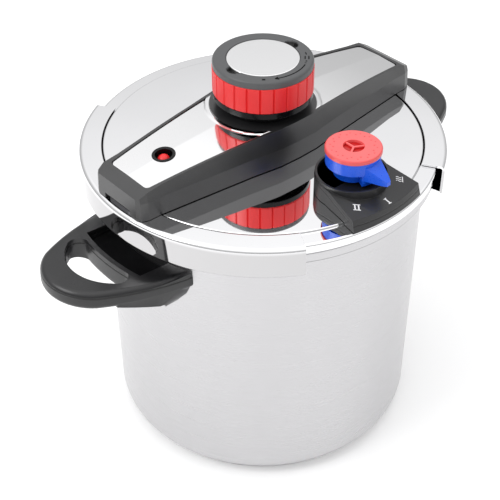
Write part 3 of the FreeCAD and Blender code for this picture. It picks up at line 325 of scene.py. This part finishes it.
base_outline = outline([
    (0, 0, 0), (103.5, 0, 1.8), (103.5, 4.55, 0.3), (102.8, 4.55, 0.1), (102.8, 0.7, 1.2),
    (0, 0.7, 0),
], closed=False)
base = surface("base_shell", turn(base_outline, count=240), along=True)
hold(base, "pot", "satin_steel", satin, "base_cap")

aluminium = Finish("core_aluminium", (0.75, 0.76, 0.77), 0.45, 1.0)
aluminium.grain(300, 300, 300, 3.0, 0.3, 0.3, 0.00003, 0.4)
coat(aluminium, "base_core")

# ---------------------------------------------------------------- side handles
# Two moulded black handles, each pushed over a welded steel tab and held by one screw from
# below. A fine parting groove runs round the outer edge, just under the rounded top.
grip_black = Finish("handle_black", (0.009, 0.009, 0.010), 0.4, Specular_IOR_Level=0.6)
reach = grip_black.axis("X").math("ABSOLUTE")
below_top = grip_black.axis("Z") - (reach - 0.111) * 0.0945 - 0.1884
grip_grain = grip_black.noise(1500, 1500, 1500, 2.0)
grip_cloud = grip_black.noise(30, 30, 30, 4.0)
seam = below_top.band(-0.0036, 0.00035, 0.0004)
# Painted shade: in the hollow between grip and pot wall the near-black colour is made metallic and
# rougher, so that it shows black, standing for the shade under the lid and jaws.
saddle_shade = ((1.0 - grip_black.radius().step(0.1285, 0.1365))
          * (1.0 - grip_black.axis("Y").math("ABSOLUTE").step(0.0230, 0.0350))
          * (1.0 - below_top.step(-0.0030, -0.0012)) * below_top.step(-0.0085, -0.0075))
grip_shade = grip_black.blend(grip_cloud.step(0.4, 0.7), (0.009, 0.009, 0.010), (0.016, 0.016, 0.017))
grip_black.feed("Base Color", grip_black.blend(seam, grip_shade, (0.002, 0.002, 0.002)))
grip_black.feed("Metallic", saddle_shade)
grip_black.feed("Roughness", grip_grain * 0.12 + grip_cloud * 0.12
                + seam * 0.3 + saddle_shade * 0.3 + 0.20)
grip_black.bump(grip_grain * 0.03 - seam, 0.0006, 0.8)


def softened(name, node, width, sharp=32.0, reshape=None):
    """Copy of a CAD node with its triangles joined into whole faces and its edges rounded over
    a width in mm. Edges under the sharp angle are shaded smooth. reshape, if given, works on
    the joined mesh before its edges are rounded."""
    source = nodes[node].data
    spots = np.zeros(len(source.vertices) * 3, np.float32)
    source.vertices.foreach_get("co", spots)
    corners = np.zeros(len(source.loops), np.int32)
    source.loops.foreach_get("vertex_index", corners)
    mesh = bpy.data.meshes.new(name)
    mesh.from_pydata(spots.reshape(-1, 3).tolist(), [], corners.reshape(-1, 3).tolist())
    clean = bmesh.new()
    clean.from_mesh(mesh)
    bmesh.ops.remove_doubles(clean, verts=clean.verts, dist=2e-6)
    bmesh.ops.dissolve_degenerate(clean, edges=clean.edges, dist=1e-6)
    bmesh.ops.dissolve_limit(clean, angle_limit=math.radians(0.6), verts=clean.verts,
                             edges=clean.edges)
    if reshape:
        reshape(clean)
    clean.to_mesh(mesh)
    clean.free()
    mesh.shade_smooth()
    mesh.set_sharp_from_angle(angle=math.radians(sharp))
    piece = bpy.data.objects.new(name, mesh)
    scene.collection.objects.link(piece)
    if width:
        bevel = piece.modifiers.new("rounding", "BEVEL")
        bevel.width = width / 1000.0
        bevel.segments = 3
        bevel.limit_method = "ANGLE"
        bevel.angle_limit = math.radians(32.0)
        bevel.harden_normals = True
    return piece


for side in ("left", "right"):
    handle = softened("handle_" + side, "side_handle_" + side, 0.8)
    hold(handle, "pot", "black_plastic", grip_black, "side_handle_" + side)

plain = Finish("plain_steel", (0.62, 0.62, 0.63), 0.35, 1.0)
plain.grain(500, 500, 500, 3.0, 0.22, 0.25, 0.00002, 0.4)
coat(plain, "handle_bracket_left", "handle_bracket_right", "handle_screws")

# ---------------------------------------------------------------- lid
# A pressed stainless lid, mirror polished: a raised disc, a flange with a turned-down edge, and
# a ring below that centres it in the pot. A silicone gasket sits round that ring.
mirror = Finish("mirror_steel", (0.90, 0.90, 0.91), 0.05, 1.0)
haze = mirror.noise(18, 18, 18, 4.0)
scratches = mirror.noise(900, 60, 300)
mirror.feed("Roughness", haze * 0.03 + scratches * 0.015 + 0.005)
mirror.bump(haze, 0.00003, 0.12)
lid_r = mirror.radius()
lid_z = mirror.axis("Z")
jaw_sector = (mirror.axis("X").math("ABSOLUTE") * 1.732
              - mirror.axis("Y").math("ABSOLUTE")).step(0.0, 0.003)
# Painted shade: a near-black ring on the lid, in the narrow gap between its raised disc and the
# flange under each jaw, stands for the shade in that gap.
gap_shade = (jaw_sector * lid_r.band(0.1088, 0.0006, 0.0003)
            * (1.0 - lid_z.step(0.2230, 0.2236)) * lid_z.step(0.2216, 0.2220))
# Painted shade: the jaws' upright sides below their tops get a darker grey than the rest of the same
# polished steel.
jaw_side_shade = lid_r.step(0.1232, 0.1240) * (1.0 - lid_z.step(0.2195, 0.2232))
shine = mirror.blend(haze.step(0.3, 0.7), (0.91, 0.91, 0.92), (0.885, 0.885, 0.895))
mirror.feed("Base Color", mirror.blend(
    gap_shade, mirror.blend(jaw_side_shade, shine, (0.56, 0.555, 0.56)), (0.05, 0.05, 0.05)))

lid_outline = outline([
    (0, 222.5, 0), (106.0, 222.5, 0.4), (106.0, 212.6, 0.3), (107.2, 212.6, 0.3),
    (107.2, 221.0, 0.6), (118.8, 221.0, 0.6), (118.8, 215.7, 0.3), (120.0, 215.7, 0.3),
    (120.0, 222.2, 1.8), (108.9, 222.2, 0.5), (108.2, 223.7, 0.9), (0, 223.7, 0),
], closed=False, steps=6)
lid = surface("lid_pressing", turn(lid_outline, count=288), along=True)
hold(lid, "lid", "mirror_steel", mirror, "lid_shell")

silicone = Finish("silicone", (0.78, 0.78, 0.77), 0.45)
silicone.grain(60, 60, 60, 3.0, 0.35, 0.25, 0.0001, 0.2)
coat(silicone, "lid_gasket", "safety_plug", "valve_gasket")

# ---------------------------------------------------------------- jaws
# Two pressed steel channels, mirror polished, that hook over the lid's flange and under the
# pot's rim. Each is riveted to a flat arm that the knob's cam slides in and out.
jaw_outline = outline([
    (109.4, 224.0, 0.4), (125, 224.0, 3.0), (125, 202.7, 1.2), (123.5, 202.7, 0.4),
    (112.8, 205.2, 0.3), (112.8, 206.7, 0.3), (123.5, 204.2, 0.4), (123.5, 222.5, 1.5),
    (109.4, 222.5, 0.4),
], steps=6)
# Painted shade: the arms, rivets and guide brackets are near-black steel, so that where they show in
# the slot under each end of the bar they read as the shadow there.
arm_shade = Finish("arm_shade_steel", (0.06, 0.06, 0.065), 0.4, 1.0)
arm_shade.grain(400, 400, 400, 3.0, 0.3, 0.2, 0.00002, 0.4)
for side, start in (("right", -60.0), ("left", 120.0)):
    jaw_grid = turn(jaw_outline, start, start + 120.0, 160)
    jaw = surface("jaw_channel_" + side, jaw_grid, around=True, lids=True)
    bevel = jaw.modifiers.new("rounding", "BEVEL")
    bevel.width = 0.0004
    bevel.segments = 2
    bevel.limit_method = "ANGLE"
    bevel.angle_limit = math.radians(60)
    hold(jaw, "jaw_%s_slider" % side, "mirror_steel", mirror, "jaw_" + side)
    coat(arm_shade, "jaw_arm_" + side, "jaw_rivets_" + side, "guide_bracket_" + side)
    coat(plain, "jaw_pin_" + side)

# ---------------------------------------------------------------- bar across the lid
# A moulded black bar with an arched top, screwed to two guide brackets on the lid. Its ends
# have a sloping shoulder, and the sides lean in a little towards the top.
moulded = Finish("moulded_black", (0.014, 0.014, 0.015), 0.4, Specular_IOR_Level=0.95)
moulded_grain = moulded.noise(1500, 1500, 1500, 2.0)
moulded_cloud = moulded.noise(30, 30, 30, 4.0)
moulded.feed("Roughness", moulded_grain * 0.12 + moulded_cloud * 0.12 + 0.20)
moulded.feed("Base Color", moulded.blend(
    moulded_cloud.step(0.4, 0.7), (0.014, 0.014, 0.015), (0.020, 0.020, 0.021)))
moulded.bump(moulded_grain, 0.00006, 0.35)

plan_x = [0.0, 16.0, 38.0, 104.0, 115.5, 120.3, 121.8]
plan_y = [36.5, 36.0, 32.5, 24.8, 24.4, 22.6, 19.5]


def crease(mesh):
    """Cut the sides along a level line, and lean what is above it inwards: the lean grows over
    the next 9 mm to 2.2 mm at the top."""
    line = 237.0
    bmesh.ops.bisect_plane(mesh, geom=mesh.verts[:] + mesh.edges[:] + mesh.faces[:], dist=1e-6,
                           plane_co=(0, 0, line / 1000.0), plane_no=(0, 0, 1))
    for spot in mesh.verts:
        x, y, z = (value * 1000.0 for value in spot.co)
        half = float(np.interp(abs(x), plan_x, plan_y)) - 2.0 * (z - 224.3) / 59.7
        if abs(y) > half - 0.6 and z > line:
            spot.co.y -= math.copysign(0.0022 * min(1.0, (z - line) / 9.0), y)


bar = softened("bar_moulding", "bridge_body", 0.45, sharp=9.0, reshape=crease)
hold(bar, "lid", "black_plastic", moulded, "bridge_body")
coat(plain, "bridge_screws", "cam_washer", "knob_washer", "knob_nut", "centre_stud")

# ---------------------------------------------------------------- inlays
# A thin brushed steel plate glued into each half of the bar's top, creased along its middle.
# The left one is pierced for the window of the pressure indicator.
brushed = Finish("brushed_inlay", (0.90, 0.90, 0.905), 0.2, 1.0)
inlay_lines = brushed.noise(30, 1800, 30)
inlay_cloud = brushed.noise(20, 20, 20)
brushed.feed("Roughness", inlay_lines * 0.05 + inlay_cloud * 0.05 + 0.03)
brushed.bump(inlay_lines, 0.00001, 0.12)
arch_radius = 897.839
window_x = -84.0


def arch(x):
    """Height of the bar's top above x, in mm: an arc with its top 250.5 mm up."""
    return 250.5 - arch_radius + np.sqrt(arch_radius ** 2 - x ** 2)


def inlay_grid(side):
    """Plate between a circle round the knob and a straight end with round corners: at u along
    and v across, y = v times the half width, which falls from wide to narrow, and z is the arch
    less a crease that sinks 0.6 mm towards both edges. The plate laps over the knob's pad."""
    u, v = np.meshgrid(np.linspace(0, 1, 89), np.linspace(-1, 1, 61), indexing="ij")
    near, far, wide, narrow, corner = 24.0, 112.0, 29.5, 18.7, 3.0
    x = near + u * (far - near)
    for _ in range(6):
        y = v * (wide + (narrow - wide) * (x - near) / (far - near))
        start = np.sqrt(35.8 ** 2 - y ** 2)
        past = np.clip(np.abs(y) - (narrow - corner), 0, corner)
        end = far - corner + np.sqrt(corner ** 2 - past ** 2)
        x = start + u * (end - start)
    lap = np.clip(39.4 - np.hypot(x, y), 0, 1)
    z = arch(x) + 0.05 * lap - (0.12 + 0.62 * np.abs(v)) * (1.0 - lap)
    return np.stack([side * x, side * y, z], -1) / 1000.0


for name, side in (("left", -1), ("right", 1)):
    plate = surface("inlay_" + name, inlay_grid(side), smooth=20)
    if name == "left":
        cut = bmesh.new()
        cut.from_mesh(plate.data)
        window = Vector((window_x / 1000.0, 0.0))
        hole = [f for f in cut.faces if (f.calc_center_median().xy - window).length < 0.0066]
        bmesh.ops.delete(cut, geom=hole, context="FACES")
        cut.to_mesh(plate.data)
        cut.free()
    if plate.data.polygons[len(plate.data.polygons) // 3].normal.z < 0:
        plate.data.flip_normals()
    sheet_depth = plate.modifiers.new("sheet", "SOLIDIFY")
    sheet_depth.thickness = 0.0002
    sheet_depth.offset = -1.0
    hold(plate, "lid", "inlay_steel", brushed, "inlay_plate_" + name)

# ---------------------------------------------------------------- indicator window
# A black ring snapped into the bar, and below it the red float that rises with the pressure
# in its guide tube.
gloss = Finish("gloss_black", (0.004, 0.004, 0.0045), 0.2, Specular_IOR_Level=0.25)
gloss.grain(50, 50, 50, 4.0, 0.12, 0.12, 0.00004, 0.15)
ring_outline = outline([
    (5.5, -7.0, 0.3), (6.7, -7.0, 0.3), (6.7, -0.6, 0.1), (7.7, -0.6, 0.2), (7.7, 0.25, 0.4),
    (5.5, 0.05, 0.5),
])
ring_grid = turn(ring_outline, count=96)
tilt = math.asin(-window_x / arch_radius)
ring_x, ring_y, ring_z = np.moveaxis(ring_grid, -1, 0)
ring_grid = np.stack([
    ring_x * math.cos(tilt) - ring_z * math.sin(tilt) + window_x / 1000.0, ring_y,
    ring_x * math.sin(tilt) + ring_z * math.cos(tilt) + arch(window_x) / 1000.0,
], -1)
bezel = surface("window_ring", ring_grid, around=True, along=True, smooth=50)
hold(bezel, "lid", "black_plastic", gloss, "window_bezel")

red = Finish("red_plastic", (0.74, 0.018, 0.020), 0.35)
red_grain = red.noise(1200, 1200, 1200, 2.0)
red_cloud = red.noise(40, 40, 40)
red.feed("Base Color", red.blend(
    red_cloud.step(0.35, 0.75), (0.82, 0.022, 0.024), (0.77, 0.018, 0.020)))
red.feed("Roughness", red_grain * 0.1 + red_cloud * 0.1 + 0.28)
red.bump(red_grain, 0.00005, 0.3)
coat(red, "indicator_pin")

brass = Finish("valve_brass", (0.78, 0.60, 0.30), 0.3, 1.0)
brass.grain(40, 40, 1200, 3.0, 0.2, 0.2, 0.00002, 0.4)
coat(brass, "indicator_sleeve", "indicator_nut")

# ---------------------------------------------------------------- knob
# A black moulded core on the cam's sleeve, a red ring with upright grooves round it, a black
# ring on top and a steel disc with two thumb notches clipped into the middle.
coat(plain, "scroll_cam")
core = softened("knob_core_moulding", "knob_core", 0.5)
hold(core, "knob", "black_plastic", gloss, "knob_core")

grip_outline = outline([
    (31.1, 260.95, 0.3), (33.5, 260.95, 1.0), (33.5, 278.9, 0.6), (31.1, 278.9, 0.3),
])
groove_count = 24


def ribs(a, r, z):
    """Depth of the grooves: rounded dents evenly round the ring, only in its outer half."""
    share = np.abs(((a * groove_count / (2 * math.pi)) % 1.0) - 0.5) * 2
    dent = np.clip((share - 0.86) / 0.14, 0, 1) ** 0.7
    return -0.0009 * dent * np.clip((r - 0.0325) / 0.001, 0, 1)


grip_grid = turn(grip_outline, count=groove_count * 24, wave=ribs)
grip = surface("knob_grip", grip_grid, around=True, along=True, smooth=50)
hold(grip, "knob", "red_plastic", red, "knob_grip_ring")

collar_black = Finish("knob_collar_black", (0.085, 0.087, 0.09), 0.42)
collar_black.grain(1500, 1500, 1500, 2.0, 0.32, 0.15, 0.00006, 0.35)
# Painted shade: the thumb notches dented into the ring's top, and the faces below them, are
# near-black, standing for the shade in the notches.
notch_shade = (1.0 - collar_black.axis("Z").step(0.2828, 0.2836)) * (
    1.0 - collar_black.radius().step(0.0292, 0.0296))
collar_black.feed("Base Color", collar_black.blend(
    notch_shade, (0.085, 0.087, 0.09), (0.004, 0.004, 0.004)))
collar_top = 283.95
collar_outline = outline(
    [(24.2, 279.0, 0.2), (33.2, 279.0, 0.3), (33.2, collar_top, 2.0), (30.8, collar_top, 0)]
    + [(r, collar_top, 0) for r in (29.9, 29.5, 29.1, 28.6, 28.0, 27.0, 26.0, 25.0)]
    + [(24.2, collar_top, 0.3)])
collar_grid = turn(collar_outline, count=288)
thumb = np.hypot(np.abs(collar_grid[..., 0]) - 0.0241, collar_grid[..., 1])
top_face = collar_grid[..., 2] > 0.2825
collar_grid[..., 2] -= np.where(top_face, 0.0028 * np.clip((0.0053 - thumb) / 0.0006, 0, 1), 0)
collar = surface("knob_collar", collar_grid, around=True, along=True, smooth=40)
hold(collar, "knob", "black_plastic", collar_black, "knob_cap_ring")

spun = Finish("spun_disc", (0.95, 0.95, 0.955), 0.22, 1.0)
spun_lines = spun.node("TexNoise", {"noise_dimensions": "1D"},
                       {"W": spun.radius() * 3000.0, "Scale": 1.0, "Detail": 3.0})
spun.feed("Roughness", spun_lines * 0.12 + 0.16)
spun.bump(spun_lines, 0.00002, 0.3)
disc_outline = outline([
    (0, 280.1, 0), (24.1, 280.1, 0.2), (24.1, 283.7, 0.7), (12, 283.7, 0), (0, 283.7, 0),
], closed=False)
disc = surface("knob_plate", turn(disc_outline, count=192), along=True, smooth=40)
hold(disc, "knob", "inlay_steel", spun, "knob_disc")

ink = Finish("mark_ink", (0.004, 0.004, 0.0045), 0.5, 1.0)
ink.grain(900, 900, 900, 3.0, 0.35, 0.3, 0.00003, 0.3)


def ribbon(points, width):
    """Flat strip along points: the two edges lie half the width to each side of the path,
    square to its direction."""
    path = np.asarray(points, float)
    ahead = np.gradient(path, axis=0)
    ahead = ahead / np.linalg.norm(ahead, axis=1)[:, None]
    side = np.stack([-ahead[:, 1], ahead[:, 0]], -1) * width / 2
    return np.stack([path - side, path + side], 1)


def marks(name, strips, height, body, slot, finish):
    """Several flat strips joined in one piece, lifted to the height that a function of x and y
    gives, and thickened downwards."""
    corners, faces = [], []
    for strip in strips:
        flat = strip.reshape(-1, 2)
        first = sum(len(c) for c in corners)
        rows = np.arange(len(strip) - 1)[:, None] * 2 + first
        faces += (rows + np.array([[0, 1, 3, 2]])).tolist()
        corners.append(np.column_stack([flat, height(flat[:, 0], flat[:, 1])]))
    mesh = bpy.data.meshes.new(name)
    mesh.from_pydata((np.concatenate(corners) / 1000.0).tolist(), [], faces)
    piece = bpy.data.objects.new(name, mesh)
    scene.collection.objects.link(piece)
    if mesh.polygons[0].normal.z < 0:
        mesh.flip_normals()
    depth = piece.modifiers.new("print", "SOLIDIFY")
    depth.thickness = 0.00012
    depth.offset = -1.0
    return hold(piece, body, slot, finish)


def bow(radius, start, end):
    """Points on an arc about the knob's axis, angles in degrees."""
    a = np.radians(np.linspace(start, end, 24))
    return np.stack([radius * np.cos(a), radius * np.sin(a)], -1)


def spot_at(radius, degrees):
    """One point at a radius and angle about the knob's axis."""
    return bow(radius, degrees, degrees)[0]


ring_r = 28.6
arrow = [ribbon(bow(ring_r, -116, -62), 0.8)] + [
    ribbon([spot_at(r, -112), spot_at(ring_r, -116.5)], 0.75) for r in (30.0, 27.2)]
dot = [ribbon(np.linspace(spot_at(27.9, -131.2), spot_at(29.5, -131.2), 3), 2.1)]
lock = [ribbon(bow(r, start, end), width) for r, start, end, width in (
    (27.2, -48, -40, 0.75), (29.6, -48, -40, 0.75), (28.4, -54, -52, 1.1),
    (28.4, -58.5, -57.2, 1.1), (28.2, -36, -30, 0.75))]
marks("knob_marks", arrow + dot + lock, lambda x, y: 284.03 + 0 * x,
      "knob", "black_plastic", ink)

# ---------------------------------------------------------------- operating valve
# A steel passage through the lid with a black fan-shaped housing, a blue selector lever and a
# red cap that holds the spring. White marks on the housing show the two pressures and steam.
valve_y = -0.0838
fan_black = Finish("fan_black", (0.016, 0.016, 0.017), 0.4, Specular_IOR_Level=0.5)
fan_grain = fan_black.noise(1500, 1500, 1500, 2.0)
fan_cloud = fan_black.noise(30, 30, 30, 4.0)
under_top = fan_black.axis("Z") - (fan_black.axis("Y") + 0.1198) * 0.2 - 0.2295
joint_line = under_top.band(-0.0036, 0.00025, 0.0003)
dish = 1.0 - fan_black.radius(valve_y).step(0.0219, 0.0222)
fan_black.feed("Base Color", fan_black.blend(
    (joint_line + dish).math("MINIMUM", 1.0), (0.020, 0.020, 0.021), (0.002, 0.002, 0.002)))
fan_black.feed("Roughness", fan_grain * 0.12 + fan_cloud * 0.12 + dish * 0.25 + 0.22)
fan_black.bump(fan_grain * 0.03 - joint_line, 0.0006, 0.8)
housing = softened("valve_fan", "valve_housing", 1.6)
hold(housing, "lid", "black_plastic", fan_black, "valve_housing")


def facing(strip_points, degrees, radius):
    """Turn points drawn upright about their own centre so that they read from outside the
    valve at an angle, and carry them out to that radius from its axis."""
    a = math.radians(degrees)
    x, y = np.asarray(strip_points, float).T
    out = np.array([math.cos(a), math.sin(a)])
    across = np.array([-math.sin(a), math.cos(a)])
    return x[:, None] * across - y[:, None] * out + out * radius + np.array([0.0, valve_y * 1000.0])


def numeral(count, degrees):
    """Roman numeral of upright bars with a short foot and head across each."""
    strips = []
    for k in range(count):
        x = (k - (count - 1) / 2) * 2.3
        strips.append(ribbon(facing([[x, -2.2], [x, 2.2]], degrees, 30), 0.9))
        for y in (-2.2, 2.2):
            strips.append(ribbon(facing([[x - 1.15, y], [x + 1.15, y]], degrees, 30), 0.6))
    return strips


def puff(degrees):
    """Steam sign: three wavy lines that rise from a short bar."""
    t = np.linspace(-1, 1, 13)
    strips = []
    for x in (-1.6, 0.0, 1.6):
        wave = np.stack([x + 0.45 * np.sin(t * 3.2), t * 1.7 + 0.5], -1)
        strips.append(ribbon(facing(wave, degrees, 30), 0.45))
    return strips + [ribbon(facing([[-2.4, -2.0], [2.4, -2.0]], degrees, 30), 0.55)]


white = Finish("mark_white", (0.85, 0.85, 0.85), 0.5)
white.grain(900, 900, 900, 3.0, 0.35, 0.3, 0.00003, 0.3)
marks("housing_marks", numeral(2, -129.5) + numeral(1, -88) + puff(-44),
      lambda x, y: 229.5 + 0.2 * (y + 119.8) + 0.06, "lid", "black_plastic", white)
coat(plain, "valve_body", "valve_piston", "valve_nut", "valve_filter")

blue = Finish("blue_plastic", (0.004, 0.095, 0.74), 0.3)
blue.grain(1200, 1200, 1200, 2.0, 0.22, 0.15, 0.00005, 0.3)
lever = softened("selector_blade", "selector_lever", 0.6)
hold(lever, "selector", "blue_plastic", blue, "selector_lever")

# The spring sits under the cap, and the lifting piston squeezes it against the cap. Here it gets a
# mesh of its own and rides on the piston.
spring = softened("spring_coil", "valve_spring", 0)
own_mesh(spring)
hold(spring, "piston", "plain_steel", plain, "valve_spring")

coral = Finish("cap_red", (0.95, 0.14, 0.14), 0.32)
coral_grain = coral.noise(1200, 1200, 1200, 2.0)
cap_r = coral.radius(valve_y)
# Painted shade: the sunk middle of the cap's top is a darker red, standing for the shade in that
# hollow.
cap_recess_shade = (1.0 - cap_r.step(0.0066, 0.0070)) * (1.0 - coral.axis("Z").step(0.2553, 0.2557))
cap_angle = (coral.axis("Y") - valve_y).math("ARCTAN2", coral.axis("X")) * (14 / (2 * math.pi))
inner_dots = (cap_angle.math("FRACT") - 0.5).math("ABSOLUTE").band(0.0, 0.06, 0.06)
outer_dots = ((cap_angle + 0.4).math("FRACT") - 0.5).math("ABSOLUTE").band(0.0, 0.05, 0.05)
dots = (inner_dots * cap_r.band(0.0128, 0.0004, 0.0003)
        + outer_dots * cap_r.band(0.0145, 0.0003, 0.0003))
edge = cap_r.step(0.0168, 0.0176)
shade = (dots * 0.6 + edge * 0.45).math("MINIMUM", 1.0)
coral.feed("Base Color", coral.blend(cap_recess_shade, coral.blend(
    shade, (0.95, 0.15, 0.15), (0.55, 0.02, 0.02)), (0.50, 0.008, 0.008)))
coral.feed("Roughness", coral_grain * 0.12 + 0.24)
coral.bump(coral_grain * 0.2 + dots, 0.0002, 0.5)
cap = softened("spring_cap", "valve_cap", 0.3)
hold(cap, "cap", "cap_red", coral, "valve_cap")
